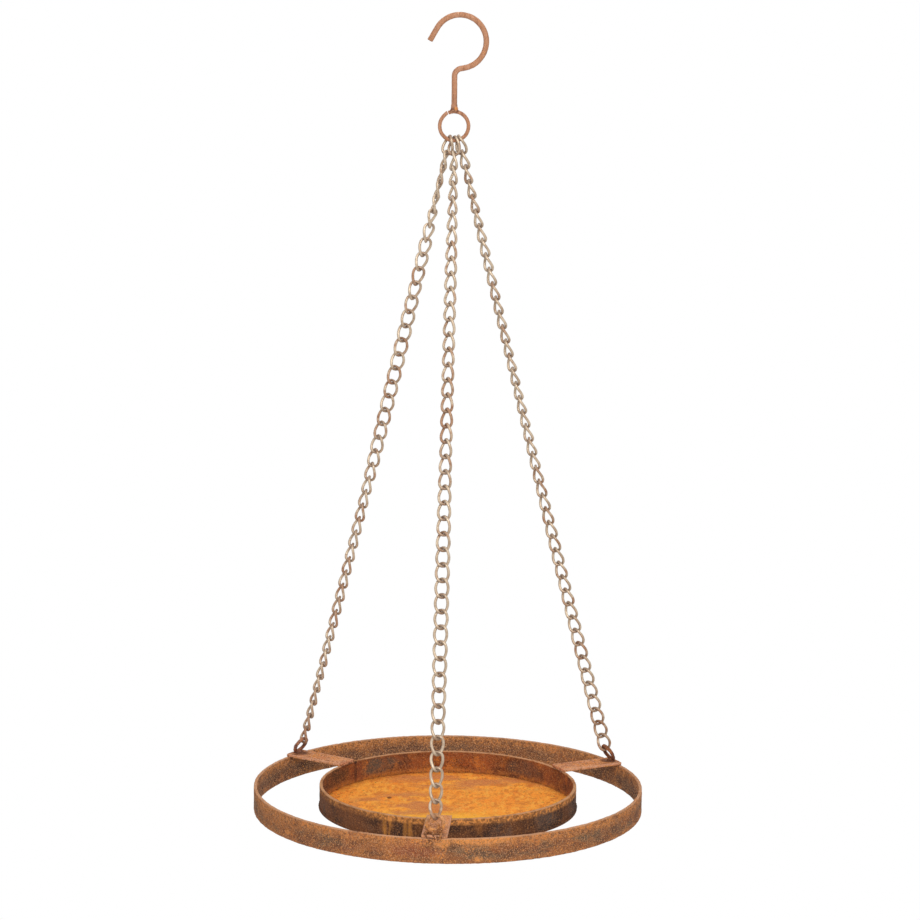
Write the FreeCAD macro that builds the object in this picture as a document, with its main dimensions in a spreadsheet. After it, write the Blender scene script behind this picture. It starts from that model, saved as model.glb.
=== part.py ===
# A hanging bird feeder: a round dish of flat bar inside a wider hoop, joined by three spokes,
# hung by three chains of twisted links from a ring and an open hook.
#
# Frame: +Z up, origin on the tray's axis at the hoop's lower edge, front spoke towards -Y.
# Millimetres and degrees.

import FreeCAD, Part
import math
import os
import Sketcher

# Driving dimensions: name, value, what it is.
DIMENSIONS = (
    ("bar_width", "20", "width of the flat bar of the hoop and the spokes"),
    ("bar_thickness", "2.5", "thickness of the flat bar"),
    ("hoop_diameter", "320", "outer diameter of the hoop"),
    ("dish_diameter", "212", "outer diameter of the dish wall"),
    ("dish_wall_depth", "18.4", "height of the dish wall below the spokes"),
    ("base_thickness", "1.2", "thickness of the dish's round base sheet"),
    ("base_overhang", "0.8", "how far the base sheet stands out past the dish wall"),
    ("base_weld_rise", "2", "height of the weld bead round the dish wall's foot"),
    ("notch_width", "2.2", "width of the V left where a bent bar's ends meet"),
    ("notch_depth", "1.4", "depth of that V"),
    ("hoop_joint_bearing", "28", "where the hoop's bar ends meet"),
    ("dish_joint_bearing", "143.4", "where the dish wall's bar ends meet"),
    ("fillet_weld", "2", "leg of the weld fillets under the spokes"),
    ("fillet_length", "13", "length of those welds along the bar's width"),
    ("eye_wire", "3", "wire of the eyes on the spokes"),
    ("eye_diameter", "16.2", "outer diameter of the eyes"),
    ("eye_lean", "30", "lean of the eyes towards the tray's axis"),
    ("crown_inset", "11", "how far inside the hoop's outer face the eyes' crowns stand"),
    ("eye_weld_rise", "2.2", "height of the weld at each eye's foot"),
    ("eye_weld_foot", "8", "diameter of that weld on the spoke"),
    ("eye_weld_head", "5", "diameter of that weld at its top"),
    ("link_count", "44", "links in each chain"),
    ("link_pitch", "12.2", "length that each link adds to the chain"),
    ("link_width", "12.1", "outer width of a link"),
    ("link_wire", "2.3", "wire of the links"),
    ("link_play", "0.15", "play between two links"),
    ("hang_play", "0.5", "play between an end link and the ring or eye that it hangs in"),
    ("link_twist", "70", "turn between the two ends of a link"),
    ("chain_sag", "2", "how far each chain's middle hangs below the straight line between its ends"),
    ("chain_spacing", "4", "distance between neighbouring chains round the ring, about"),
    ("ring_wire", "3", "wire of the ring above the chains"),
    ("ring_diameter", "26", "outer diameter of that ring"),
    ("ring_gap", "0.5", "gap between the ring's ends"),
    ("ring_gap_bearing", "115", "where that gap is, from +X over the top"),
    ("hook_rod", "4.5", "rod of the hook"),
    ("hook_radius", "21", "radius of the hook's arc, to the middle of the rod"),
    ("hook_offset", "4", "how far the arc's centre stands to the side of the stem"),
    ("hook_stem", "28", "length of the straight stem"),
    ("hook_bend_radius", "6", "radius of the bend between the stem and the arc"),
    ("hook_bend_turn", "80", "turn of that bend"),
    ("hook_tip_bearing", "150", "where the arc ends, from +X over the top"),
    ("hook_tip", "11.5", "length of the straight tip"),
    ("stem_weld_rise", "5", "height of the weld at the stem's foot"),
    ("stem_weld_foot", "8", "diameter of that weld on the ring"),
)

# The three arms, each a third of a turn on from the one before.
ARMS = ("front", "left", "right")
FRONT_BEARING = -90
ARM_STEP = 360 / len(ARMS)

# Heights and radii that follow from the sheet.
SPOKE_TOP = "(Sizes.bar_width + Sizes.bar_thickness)"
BASE_TOP = "(Sizes.bar_width - Sizes.dish_wall_depth)"
HOOP_INSIDE = "(Sizes.hoop_diameter / 2 - Sizes.bar_thickness)"
DISH_INSIDE = "(Sizes.dish_diameter / 2 - Sizes.bar_thickness)"
CROWN_RADIUS = "(Sizes.hoop_diameter / 2 - Sizes.crown_inset)"
EYE_MEAN = "((Sizes.eye_diameter - Sizes.eye_wire) / 2)"
EYE_FOOT_RADIUS = f"({CROWN_RADIUS} + 2 * {EYE_MEAN} * sin(Sizes.eye_lean))"
EYE_FOOT_HEIGHT = f"({SPOKE_TOP} + Sizes.eye_wire / 2)"
CROWN_HEIGHT = f"({EYE_FOOT_HEIGHT} + 2 * {EYE_MEAN} * cos(Sizes.eye_lean))"
RING_MEAN = "((Sizes.ring_diameter - Sizes.ring_wire) / 2)"
CHAIN_LENGTH = ("(Sizes.link_count * Sizes.link_pitch + Sizes.link_play - 2 * Sizes.hang_play"
                " - (Sizes.ring_wire + Sizes.eye_wire) / 2)")
CHAIN_RISE = f"sqrt(pow({CHAIN_LENGTH}; 2) - pow({CROWN_RADIUS}; 2))"
RING_HEIGHT = f"({CROWN_HEIGHT} + {CHAIN_RISE} + {RING_MEAN})"
RING_TOP = f"({RING_HEIGHT} + {RING_MEAN})"

# Where the chains hang on the ring, in steps of the chain spacing to the right of the middle.
RING_PLACES = {"front": 0.075, "left": -0.9, "right": 1.15}

# How each chain turns on its way down: link number and bearing of that link's lower crown.
LINK_TURNS = {
    "front": (
        (1, 3), (2, -38), (3, -34), (5, -26), (9, -6), (21, -2), (25, 14), (28, 27), (31, 41),
        (38, 58), (44, 72),
    ),
    "left": (
        (1, -8), (2, -50), (3, -52), (5, -58), (8, -108), (11, -110), (14, -136), (18, -148), (23, -176),
        (25, -200), (34, -203), (40, -218), (44, -218),
    ),
    "right": (
        (1, -8), (2, -24), (3, -34), (6, -30), (8, -24), (18, -28), (25, -15), (29, -2), (32, 0), (44, 32),
    ),
}

# A link's outline is a polygon of this many corners, flat across both crowns. Its flanks are
# straighter than an oval's: its half width goes with this power of the sine.
LINK_CORNERS = 10
LINK_SQUARENESS = 0.7


document = FreeCAD.newDocument("bird_feeder")
sheet = document.addObject("Spreadsheet::Sheet", "Sizes")
for row, (alias, number, meaning) in enumerate(DIMENSIONS, start=1):
    sheet.set(f"A{row}", meaning)
    sheet.set(f"B{row}", number)
    sheet.setAlias(f"B{row}", alias)
document.recompute()

nodes = []


def value(text):
    """The number that an expression of the sheet's sizes gives."""
    return float(sheet.evalExpression(text))


def size(alias):
    """One driving dimension."""
    return float(sheet.get(alias))


def new_body(label):
    """A body that is exported under its label."""
    body = document.addObject("PartDesign::Body", label)
    nodes.append(body)
    return body


def sketch_on(body, role, name, height="0"):
    """A sketch on one of the body's own origin planes, moved out along the plane's normal."""
    plane = next(feature for feature in body.Origin.OriginFeatures if feature.Role == role)
    sketch = body.newObject("Sketcher::SketchObject", f"{body.Name}_{name}")
    sketch.AttachmentSupport = (plane, [""])
    sketch.MapMode = "FlatFace"
    sketch.setExpression("AttachmentOffset.Base.z", height)
    return sketch


def hold(sketch, kind, places, text, name):
    """Drive one dimension of a sketch by an expression."""
    index = sketch.addConstraint(Sketcher.Constraint(kind, *places, value(text)))
    sketch.renameConstraint(index, name)
    sketch.setExpression(f"Constraints.{name}", text)


def outline(sketch, corners):
    """Draw a closed outline of straight lines and hold each named corner at its two expressions."""
    names = list(corners)
    points = [FreeCAD.Vector(value(across), value(up), 0) for across, up in corners.values()]
    for index, start in enumerate(points):
        sketch.addGeometry(Part.LineSegment(start, points[(index + 1) % len(points)]))
    for index, name in enumerate(names):
        across, up = corners[name]
        sketch.addConstraint(Sketcher.Constraint("Coincident", (index - 1) % len(names), 2, index, 1))
        hold(sketch, "DistanceX", (-1, 1, index, 1), across, f"{name}_across")
        hold(sketch, "DistanceY", (-1, 1, index, 1), up, f"{name}_up")


def revolve(body, sketch):
    """Turn a sketch of the body's half section all round its Z axis."""
    turned = body.newObject("PartDesign::Revolution", f"{body.Name}_turned")
    turned.Profile = sketch
    turned.ReferenceAxis = (sketch, ["V_Axis"])
    turned.Angle = 360
    return turned


def pad(body, sketch, length, name, midplane=False):
    """Raise a sketch by an expression's length, to both sides where midplane is set."""
    raised = body.newObject("PartDesign::Pad", f"{body.Name}_{name}")
    raised.Profile = sketch
    raised.setExpression("Length", length)
    raised.Midplane = midplane
    return raised


def turn_about_axis(feature, bearing):
    """Turn a feature about the tray's axis by an expression's angle."""
    feature.Placement = FreeCAD.Placement(FreeCAD.Vector(), FreeCAD.Rotation(FreeCAD.Vector(0, 0, 1), 1))
    feature.setExpression("Placement.Rotation.Angle", bearing)


def bent_bar(label, diameter, foot, top, joint_edge, joint_side, joint_bearing):
    """A flat bar bent into a circle, with a small V left in one edge where its ends meet."""
    body = new_body(label)
    inside = f"({diameter} / 2 - Sizes.bar_thickness)"
    section = sketch_on(body, "XZ_Plane", "section")
    outline(section, {
        "foot_inside": (inside, foot),
        "foot_outside": (f"{diameter} / 2", foot),
        "top_outside": (f"{diameter} / 2", top),
        "top_inside": (inside, top),
    })
    revolve(body, section)
    joint = sketch_on(body, "YZ_Plane", "joint")
    outline(joint, {
        "near": ("-Sizes.notch_width / 2", joint_edge),
        "far": ("Sizes.notch_width / 2", joint_edge),
        "root": ("0", f"{joint_edge} + {joint_side} * Sizes.notch_depth"),
    })
    notch = body.newObject("PartDesign::Pocket", f"{label}_notch")
    notch.Profile = joint
    notch.Type = "ThroughAll"
    notch.Reversed = True
    turn_about_axis(body, joint_bearing)
    return body


def base_weld(wall):
    """The weld bead round the dish wall's foot, on the rim of the base sheet."""
    bead = sketch_on(wall, "XZ_Plane", "bead")
    outside = "Sizes.dish_diameter / 2"
    outline(bead, {
        "foot": (outside, BASE_TOP),
        "rim": (f"{outside} + Sizes.base_overhang", BASE_TOP),
        "top": (outside, f"{BASE_TOP} + Sizes.base_weld_rise"),
    })
    revolve(wall, bead)


def dish_base():
    """The dish's base, a round sheet whose rim stands out past the wall."""
    body = new_body("dish_base")
    plan = sketch_on(body, "XY_Plane", "plan", f"{BASE_TOP} - Sizes.base_thickness")
    plan.addGeometry(Part.Circle(FreeCAD.Vector(), FreeCAD.Vector(0, 0, 1), value("Sizes.dish_diameter / 2")))
    plan.addConstraint(Sketcher.Constraint("Coincident", 0, 3, -1, 1))
    hold(plan, "Radius", (0,), "Sizes.dish_diameter / 2 + Sizes.base_overhang", "rim")
    pad(body, plan, "Sizes.base_thickness", "sheet")


def spoke(arm, bearing):
    """A flat bar across the gap: square at the dish wall's inner face, round at the hoop's outer one."""
    body = new_body(f"spoke_{arm}")
    plan = sketch_on(body, "XY_Plane", "plan", "Sizes.bar_width")
    reach = value("Sizes.hoop_diameter / 2")
    half = value("Sizes.bar_width / 2")
    start = value(DISH_INSIDE)
    side = math.degrees(math.asin(half / reach))
    corner = FreeCAD.Vector(reach * math.cos(math.radians(side)), half, 0)
    mirrored = FreeCAD.Vector(corner.x, -half, 0)
    plan.addGeometry(Part.LineSegment(FreeCAD.Vector(start, half, 0), FreeCAD.Vector(start, -half, 0)))
    plan.addGeometry(Part.LineSegment(FreeCAD.Vector(start, -half, 0), mirrored))
    plan.addGeometry(Part.Arc(mirrored, FreeCAD.Vector(reach, 0, 0), corner))
    plan.addGeometry(Part.LineSegment(corner, FreeCAD.Vector(start, half, 0)))
    for constraint in (
        ("Coincident", 0, 2, 1, 1),
        ("Coincident", 1, 2, 2, 1),
        ("Coincident", 2, 2, 3, 1),
        ("Coincident", 3, 2, 0, 1),
        ("Coincident", 2, 3, -1, 1),
        ("Vertical", 0),
        ("Horizontal", 1),
        ("Horizontal", 3),
        ("Symmetric", 2, 1, 2, 2, -1),
    ):
        plan.addConstraint(Sketcher.Constraint(*constraint))
    hold(plan, "Distance", (0,), "Sizes.bar_width", "width")
    hold(plan, "Radius", (2,), "Sizes.hoop_diameter / 2", "reach")
    hold(plan, "DistanceX", (-1, 1, 0, 1), DISH_INSIDE, "start")
    pad(body, plan, "Sizes.bar_thickness", "bar")
    half_weld = "Sizes.fillet_length / 2"
    for name, wall, side in (
        ("hoop_weld", f"sqrt(pow({HOOP_INSIDE}; 2) - pow({half_weld}; 2))", -1),
        ("dish_weld", "Sizes.dish_diameter / 2", 1),
    ):
        fillet = sketch_on(body, "XZ_Plane", name)
        outline(fillet, {
            "corner": (wall, "Sizes.bar_width"),
            "under": (wall, "Sizes.bar_width - Sizes.fillet_weld"),
            "along": (f"{wall} + {side} * Sizes.fillet_weld", "Sizes.bar_width"),
        })
        pad(body, fillet, "Sizes.fillet_length", f"{name}_pad", midplane=True)
    turn_about_axis(body, str(bearing))


def eye(arm, bearing):
    """A round wire eye across the spoke, leaning in along its chain, with a weld at its foot."""
    loop = document.addObject("Part::Torus", f"eye_{arm}_loop")
    loop.Placement = FreeCAD.Placement(FreeCAD.Vector(), FreeCAD.Rotation(FreeCAD.Vector(0, 1, 0), 1))
    loop.setExpression("Radius1", EYE_MEAN)
    loop.setExpression("Radius2", "Sizes.eye_wire / 2")
    loop.setExpression("Placement.Rotation.Angle", "90 - Sizes.eye_lean")
    loop.setExpression("Placement.Base.x", f"{CROWN_RADIUS} + {EYE_MEAN} * sin(Sizes.eye_lean)")
    loop.setExpression("Placement.Base.z", f"{EYE_FOOT_HEIGHT} + {EYE_MEAN} * cos(Sizes.eye_lean)")
    weld = document.addObject("Part::Cone", f"eye_{arm}_weld")
    weld.setExpression("Radius1", "Sizes.eye_weld_foot / 2")
    weld.setExpression("Radius2", "Sizes.eye_weld_head / 2")
    weld.setExpression("Height", "Sizes.eye_weld_rise")
    weld.setExpression("Placement.Base.x", EYE_FOOT_RADIUS)
    weld.setExpression("Placement.Base.z", SPOKE_TOP)
    joined = document.addObject("Part::Fuse", f"eye_{arm}")
    joined.Base = loop
    joined.Tool = weld
    turn_about_axis(joined, str(bearing))
    nodes.append(joined)


def hook_ring():
    """The ring that carries the chains: wire bent round until its ends almost meet."""
    gap_turn = f"(Sizes.ring_gap / {RING_MEAN} * 180 / pi)"
    body = new_body("hook_ring")
    section = sketch_on(body, "XY_Plane", "section")
    section.addGeometry(Part.Circle(FreeCAD.Vector(value(RING_MEAN), 0, 0), FreeCAD.Vector(0, 0, 1),
                                    value("Sizes.ring_wire / 2")))
    hold(section, "Radius", (0,), "Sizes.ring_wire / 2", "wire")
    hold(section, "DistanceX", (-1, 1, 0, 3), RING_MEAN, "mean")
    section.addConstraint(Sketcher.Constraint("PointOnObject", 0, 3, -1))
    bent = body.newObject("PartDesign::Revolution", "hook_ring_bent")
    bent.Profile = section
    bent.ReferenceAxis = (section, ["V_Axis"])
    bent.setExpression("Angle", f"360 - {gap_turn}")
    body.Placement = FreeCAD.Placement(FreeCAD.Vector(), FreeCAD.Rotation(FreeCAD.Vector(0, 1, 0), 1))
    body.setExpression("Placement.Rotation.Angle", f"360 - Sizes.ring_gap_bearing - {gap_turn} / 2")
    body.setExpression("Placement.Base.z", RING_HEIGHT)


def hook_path(path):
    """Draw the hook's middle line from its foot: stem, bend, short straight, arc and straight tip."""
    stem = size("hook_stem")
    bend = size("hook_bend_radius")
    turn = math.radians(size("hook_bend_turn"))
    radius = size("hook_radius")
    offset = size("hook_offset")
    tip_bearing = math.radians(size("hook_tip_bearing"))

    def at(x, z):
        return FreeCAD.Vector(x, z, 0)

    def on_bend(angle):
        return at(bend - bend * math.cos(angle), stem + bend * math.sin(angle))

    bend_end = on_bend(turn)
    run = (offset + radius * math.cos(turn) - bend_end.x) / math.sin(turn)
    arc_start = bend_end + at(math.sin(turn), math.cos(turn)) * run
    centre = arc_start + at(-math.cos(turn), math.sin(turn)) * radius

    def on_arc(angle):
        return centre + at(math.cos(angle), math.sin(angle)) * radius

    arc_end = on_arc(tip_bearing)
    tip_end = arc_end + at(-math.sin(tip_bearing), math.cos(tip_bearing)) * size("hook_tip")
    for curve in (
        Part.LineSegment(at(0, 0), at(0, stem)),
        Part.Arc(at(0, stem), on_bend(turn / 2), bend_end),
        Part.LineSegment(bend_end, arc_start),
        Part.Arc(arc_start, on_arc(tip_bearing / 2 - math.pi / 4), arc_end),
        Part.LineSegment(arc_end, tip_end),
    ):
        path.addGeometry(curve)


def hook():
    """The open hook: one rod swept along its bent middle line, welded to the top of the ring."""
    body = new_body("hook")
    body.setExpression("Placement.Base.z", RING_TOP)
    section = sketch_on(body, "XY_Plane", "section")
    section.addGeometry(Part.Circle(FreeCAD.Vector(), FreeCAD.Vector(0, 0, 1), size("hook_rod") / 2))
    section.addConstraint(Sketcher.Constraint("Coincident", 0, 3, -1, 1))
    hold(section, "Diameter", (0,), "Sizes.hook_rod", "rod")
    path = sketch_on(body, "XZ_Plane", "path")
    hook_path(path)
    rod = body.newObject("PartDesign::AdditivePipe", "hook_rod")
    rod.Profile = section
    rod.Spine = path
    weld = body.newObject("PartDesign::AdditiveCone", "hook_weld")
    weld.setExpression("Radius1", "Sizes.stem_weld_foot / 2")
    weld.setExpression("Radius2", "Sizes.hook_rod / 2")
    weld.setExpression("Height", "Sizes.stem_weld_rise")
    seat = body.newObject("PartDesign::SubtractiveTorus", "hook_seat")
    seat.AttachmentSupport = (section.AttachmentSupport[0][0], [""])
    seat.MapMode = "FlatFace"
    seat.AttachmentOffset.Rotation = FreeCAD.Rotation(FreeCAD.Vector(1, 0, 0), 90)
    seat.setExpression("AttachmentOffset.Base.z", f"-{RING_MEAN}")
    seat.setExpression("Radius1", RING_MEAN)
    seat.setExpression("Radius2", "Sizes.ring_wire / 2")


def link_solid():
    """One twisted link about its middle, long axis along Z and lower crown across X.

    Its middle line is the oval  r = width * |sin t|^squareness, z = height * cos t, turned about Z
    by  twist * (1 + cos t) / 2  as it climbs, so that its upper crown stands that twist on from the
    lower one. The section is a square with the round wire's area.
    """
    wire = size("link_wire")
    half = math.sqrt(math.pi) * wire / 4
    twist = math.radians(size("link_twist"))
    flat = math.cos(math.pi / LINK_CORNERS)
    width = size("link_width") / 2 - half
    height = ((size("link_pitch") + size("link_play")) / 2 + half) / flat
    steps = [(index + 0.5) * 2 * math.pi / LINK_CORNERS for index in range(LINK_CORNERS)]
    oval = []
    for t in steps:
        reach = width * abs(math.sin(t)) ** LINK_SQUARENESS
        oval.append(FreeCAD.Vector(math.copysign(reach, math.sin(t)), height * math.cos(t), 0))
    sides = [oval[index] - oval[index - 1] for index in range(LINK_CORNERS)]
    normals = [FreeCAD.Vector(-side.y, side.x, 0).normalize() for side in sides]
    steepness = twist / (2 * height)
    rings = []
    for index, t in enumerate(steps):
        before = normals[index]
        after = normals[(index + 1) % LINK_CORNERS]
        mitre = (before + after) * (half / (1 + before.dot(after)))
        depth = half * math.sqrt(1 + (oval[index].x * steepness) ** 2)
        turn = math.degrees(-twist / 2 * (1 + math.cos(t)))
        turned = FreeCAD.Rotation(FreeCAD.Vector(0, 0, 1), turn)
        corners = ((1, depth), (1, -depth), (-1, -depth), (-1, depth))
        edges = [(oval[index] + mitre * side, across) for side, across in corners]
        rings.append([turned.multVec(FreeCAD.Vector(edge.x, across, edge.y)) for edge, across in edges])
    faces = []
    for index, ring in enumerate(rings):
        following = rings[(index + 1) % LINK_CORNERS]
        for corner in range(4):
            beside = (corner + 1) % 4
            for triangle in (
                (ring[corner], ring[beside], following[beside]),
                (ring[corner], following[beside], following[corner]),
            ):
                faces.append(Part.Face(Part.makePolygon([*triangle, triangle[0]])))
    solid = Part.Solid(Part.Shell(faces))
    if solid.Volume < 0:
        solid.reverse()
    return solid


def link_turn(arm, number):
    """Bearing of a link's lower crown, between the bearings given for its chain."""
    turns = LINK_TURNS[arm]
    for (first, start), (last, end) in zip(turns, turns[1:]):
        if number <= last:
            return start + (end - start) * (number - first) / (last - first)
    return turns[-1][1]


def chain_frame(arm, bearing):
    """Top of a chain on the ring, its direction down to the eye, its real pitch and where it sags to."""
    around = math.radians(bearing)
    crown = FreeCAD.Vector(math.cos(around), math.sin(around), 0) * value(CROWN_RADIUS)
    crown.z = value(CROWN_HEIGHT)
    mean = value(RING_MEAN)
    swing = RING_PLACES[arm] * size("chain_spacing") / mean
    hang = FreeCAD.Vector(mean * math.sin(swing), 0, value(RING_HEIGHT) - mean * math.cos(swing))
    up = (hang - crown).normalize()
    across = (FreeCAD.Vector(1, 0, 0) - up * up.x).normalize()
    wires = (size("ring_wire") + size("eye_wire")) / 2
    reach = hang.distanceToPoint(crown) - size("link_play") + 2 * size("hang_play") + wires
    pitch = reach / size("link_count")
    placement = FreeCAD.Placement(hang, FreeCAD.Rotation(across, up.cross(across), up, "ZXY"))
    down = (up * up.z - FreeCAD.Vector(0, 0, 1)).normalize()
    return placement, pitch, placement.Rotation.inverted().multVec(down)


def chain(arm, bearing, link):
    """The links of one chain from the ring to the eye: the first, the last and all between.

    They follow a parabola that lies  4 * sag * share * (1 - share)  below the straight line.
    """
    placement, pitch, down = chain_frame(arm, bearing)
    count = int(size("link_count"))
    sag = size("chain_sag")
    overlap = (size("ring_wire") - size("link_play")) / 2 + size("hang_play")
    along = FreeCAD.Vector(0, 0, 1)
    links = []
    for number in range(1, count + 1):
        share = (number - 0.5) / count
        slope = 4 * sag * (1 - 2 * share) / (count * pitch)
        place = along * (overlap - (number - 0.5) * pitch) + down * (4 * sag * share * (1 - share))
        turn = FreeCAD.Rotation(along, link_turn(arm, number))
        hung = link.copy()
        hung.Placement = FreeCAD.Placement(place, FreeCAD.Rotation(along, along - down * slope) * turn)
        links.append(hung)
    for label, group in (
        (f"chain_{arm}_top_link", links[:1]),
        (f"chain_{arm}_links", links[1:-1]),
        (f"chain_{arm}_bottom_link", links[-1:]),
    ):
        feature = document.addObject("Part::Feature", label)
        feature.Shape = Part.Compound(group)
        feature.Placement = placement
        nodes.append(feature)


bent_bar("outer_ring", "Sizes.hoop_diameter", "0", "Sizes.bar_width", "0", 1, "Sizes.hoop_joint_bearing")
dish_wall = bent_bar("dish_wall", "Sizes.dish_diameter", BASE_TOP, "Sizes.bar_width", "Sizes.bar_width", -1,
                     "Sizes.dish_joint_bearing")
base_weld(dish_wall)
dish_base()
hook_ring()
hook()
twisted_link = link_solid()
for place, arm_name in enumerate(ARMS):
    arm_bearing = FRONT_BEARING - place * ARM_STEP
    spoke(arm_name, arm_bearing)
    eye(arm_name, arm_bearing)
    chain(arm_name, arm_bearing, twisted_link)
document.recompute()

for item in document.Objects:
    if "Invalid" in item.State or "Error" in item.State:
        raise RuntimeError(f"{item.Label} did not build: {item.State}")
for node in nodes:
    if node.Shape.isNull() or not node.Shape.isValid():
        raise RuntimeError(f"{node.Label} has no valid shape")

os.makedirs("parts", exist_ok=True)
for node in nodes:
    node.Shape.exportStep(f"parts/{node.Label}.step")
    box = node.Shape.BoundBox
    print(f"{node.Label}: {len(node.Shape.Solids)} solids, {node.Shape.Volume / 1000:.2f} cm3, "
          f"z {box.ZMin:.2f} to {box.ZMax:.2f}")
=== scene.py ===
import math

import bpy
import numpy as np
from mathutils import Matrix, Vector


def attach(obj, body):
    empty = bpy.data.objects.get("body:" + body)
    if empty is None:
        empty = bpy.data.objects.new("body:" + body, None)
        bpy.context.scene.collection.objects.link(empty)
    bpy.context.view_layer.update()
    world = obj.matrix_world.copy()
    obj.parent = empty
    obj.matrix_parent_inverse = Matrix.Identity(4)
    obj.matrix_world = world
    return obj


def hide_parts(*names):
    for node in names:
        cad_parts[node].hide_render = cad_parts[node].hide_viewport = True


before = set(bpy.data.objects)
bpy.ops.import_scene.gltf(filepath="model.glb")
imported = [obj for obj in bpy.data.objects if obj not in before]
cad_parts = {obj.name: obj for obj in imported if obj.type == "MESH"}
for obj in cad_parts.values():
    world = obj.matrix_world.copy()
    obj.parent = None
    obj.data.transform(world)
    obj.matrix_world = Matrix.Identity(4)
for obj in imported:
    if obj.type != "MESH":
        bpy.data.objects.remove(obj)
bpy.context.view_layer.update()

# Sizes in metres, as the solids have them. The tray's axis is Z, the front spoke points along -Y.
BAR_WIDTH = 0.020
BAR_THICKNESS = 0.0025
BAR_ROUNDING = 0.0005
HOOP_RADIUS = 0.160
DISH_RADIUS = 0.106
DISH_DEPTH = 0.0184
DISH_FOOT = BAR_WIDTH - DISH_DEPTH
BASE_THICKNESS = 0.0012
BASE_OVERHANG = 0.0008
NOTCH_WIDTH = 0.0022
NOTCH_DEPTH = 0.0014
HOOP_JOINT = math.radians(28)
DISH_JOINT = math.radians(143.4)
SPOKE_TOP = BAR_WIDTH + BAR_THICKNESS
EYE_WIRE = 0.003
EYE_MEAN = 0.0066
EYE_LEAN = math.radians(30)
CROWN_RADIUS = HOOP_RADIUS - 0.011
CROWN_HEIGHT = SPOKE_TOP + EYE_WIRE / 2 + 2 * EYE_MEAN * math.cos(EYE_LEAN)
EYE_FOOT_RADIUS = CROWN_RADIUS + 2 * EYE_MEAN * math.sin(EYE_LEAN)
EYE_UP = np.array([-math.sin(EYE_LEAN), 0, math.cos(EYE_LEAN)])
EYE_MIDDLE = np.array([EYE_FOOT_RADIUS, 0, SPOKE_TOP + EYE_WIRE / 2]) + EYE_MEAN * EYE_UP
WELD_RISE = 0.0018
WELD_STAND_OUT = 0.0004
# How near an edge the welds count, for paler edges that are partly wear and partly painted highlight.
WELD_EDGE_NEARNESS = 0.3
CURL_SINK = 0.0010
SAW_BEVEL = 0.0003

LINKS = 44
LINK_PITCH = 0.0122
LINK_WIDTH = 0.0121
LINK_WIRE = 0.0023
LINK_PLAY = 0.00015
LINK_TWIST = math.radians(70)
LINK_SQUARENESS = 0.7
HANG_PLAY = 0.0005
CHAIN_SPACING = 0.004
CHAIN_SAG = 0.002
RING_WIRE = 0.003
RING_MEAN = 0.0115
RING_GAP = 0.0005
RING_GAP_BEARING = math.radians(115)
WIRES = (RING_WIRE + EYE_WIRE) / 2
CHAIN_LENGTH = LINKS * LINK_PITCH + LINK_PLAY - 2 * HANG_PLAY - WIRES
RING_BOTTOM = CROWN_HEIGHT + math.sqrt(CHAIN_LENGTH ** 2 - CROWN_RADIUS ** 2)
RING_HEIGHT = RING_BOTTOM + RING_MEAN
RING_TOP = RING_HEIGHT + RING_MEAN

HOOK_ROD = 0.0045
HOOK_RADIUS = 0.021
HOOK_OFFSET = 0.004
HOOK_STEM = 0.028
HOOK_BEND_RADIUS = 0.006
HOOK_BEND_TURN = math.radians(80)
HOOK_TIP_BEARING = math.radians(150)
HOOK_TIP = 0.0115

TRAY = "hanging_tray"
HOOK_BODY = "hook"
ARM_BEARINGS = {"front": -math.pi / 2, "left": -math.pi * 7 / 6, "right": -math.pi * 11 / 6}
RING_PLACES = {"front": 0.075, "left": -0.9, "right": 1.15}

# How each chain turns on its way down: link numbers and bearings of their lower crowns.
LINK_TURNS = {
    "front": (
        (1, 2, 3, 5, 9, 21, 25, 28, 31, 38, 44),
        (3, -38, -34, -26, -6, -2, 14, 27, 41, 58, 72),
    ),
    "left": (
        (1, 2, 3, 5, 8, 11, 14, 18, 23, 25, 34, 40, 44),
        (-8, -50, -52, -58, -108, -110, -136, -148, -176, -200, -203, -218, -218),
    ),
    "right": (
        (1, 2, 3, 6, 8, 18, 25, 29, 32, 44),
        (-8, -24, -34, -30, -24, -28, -15, -2, 0, 32),
    ),
}

# How rusted each chain is on its way down: link numbers and shares of rust.
LINK_RUST = {
    "front": ((1, 4, 12, 18, 24, 28, 44), (0.3, 0.25, 0.35, 0.65, 0.6, 0.2, 0.1)),
    "left": ((1, 8, 10, 14, 22, 34, 44), (0.15, 0.2, 0.5, 0.4, 0.3, 0.35, 0.4)),
    "right": ((1, 4, 5, 6, 14, 26, 36, 44), (0.2, 0.2, 0.5, 0.2, 0.2, 0.3, 0.35, 0.4)),
}

# The heights between which a band's upper edge is laid paler: partly edge wear, partly painted highlight
# where the top faces catch the light.
UPPER_EDGE = (0.0188, 0.0196)

# A spot fades from its core to its edge, as shares of its size, and a speck has few octaves of noise.
SPOT_CORE = 0.6
SPOT_EDGE = 1.15
SPECK_DETAIL = 1.5

# Strength of the light from all round, and each lamp's place, power and size.
FILL_LIGHT = 0.4
LAMPS = {"key": ((0.5, -2.5, 1.6), 56, 1.4), "top": ((-0.3, 0.3, 2.4), 22, 1.6)}
LAMP_AIM = (0, 0, 0.15)
FLOOR_HEIGHT = -0.35
FLOOR_REACH = 6.0
WHITE = (1, 1, 1, 1)

# The photograph's camera: distance from the middle of the hoop's rim, and its angles.
CAMERA_DISTANCE = 2.11346
CAMERA_RISE = math.radians(15.332)
CAMERA_TURN = math.radians(3.63)
CAMERA_PITCH = math.radians(-8.068)
CAMERA_YAW = math.radians(0.206)
CAMERA_ROLL = math.radians(0.564)
CAMERA_FOCAL_PIXELS = 2535.24
FRAME_PIXELS = 920
SENSOR = 36


def colour(code):
    """A colour written as rrggbb, in the linear values that shaders take."""
    shares = np.array([int(code[at:at + 2], 16) for at in (0, 2, 4)]) / 255
    linear = np.where(shares <= 0.04045, shares / 12.92, ((shares + 0.055) / 1.055) ** 2.4)
    return (*linear, 1)


# Surfaces


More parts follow.
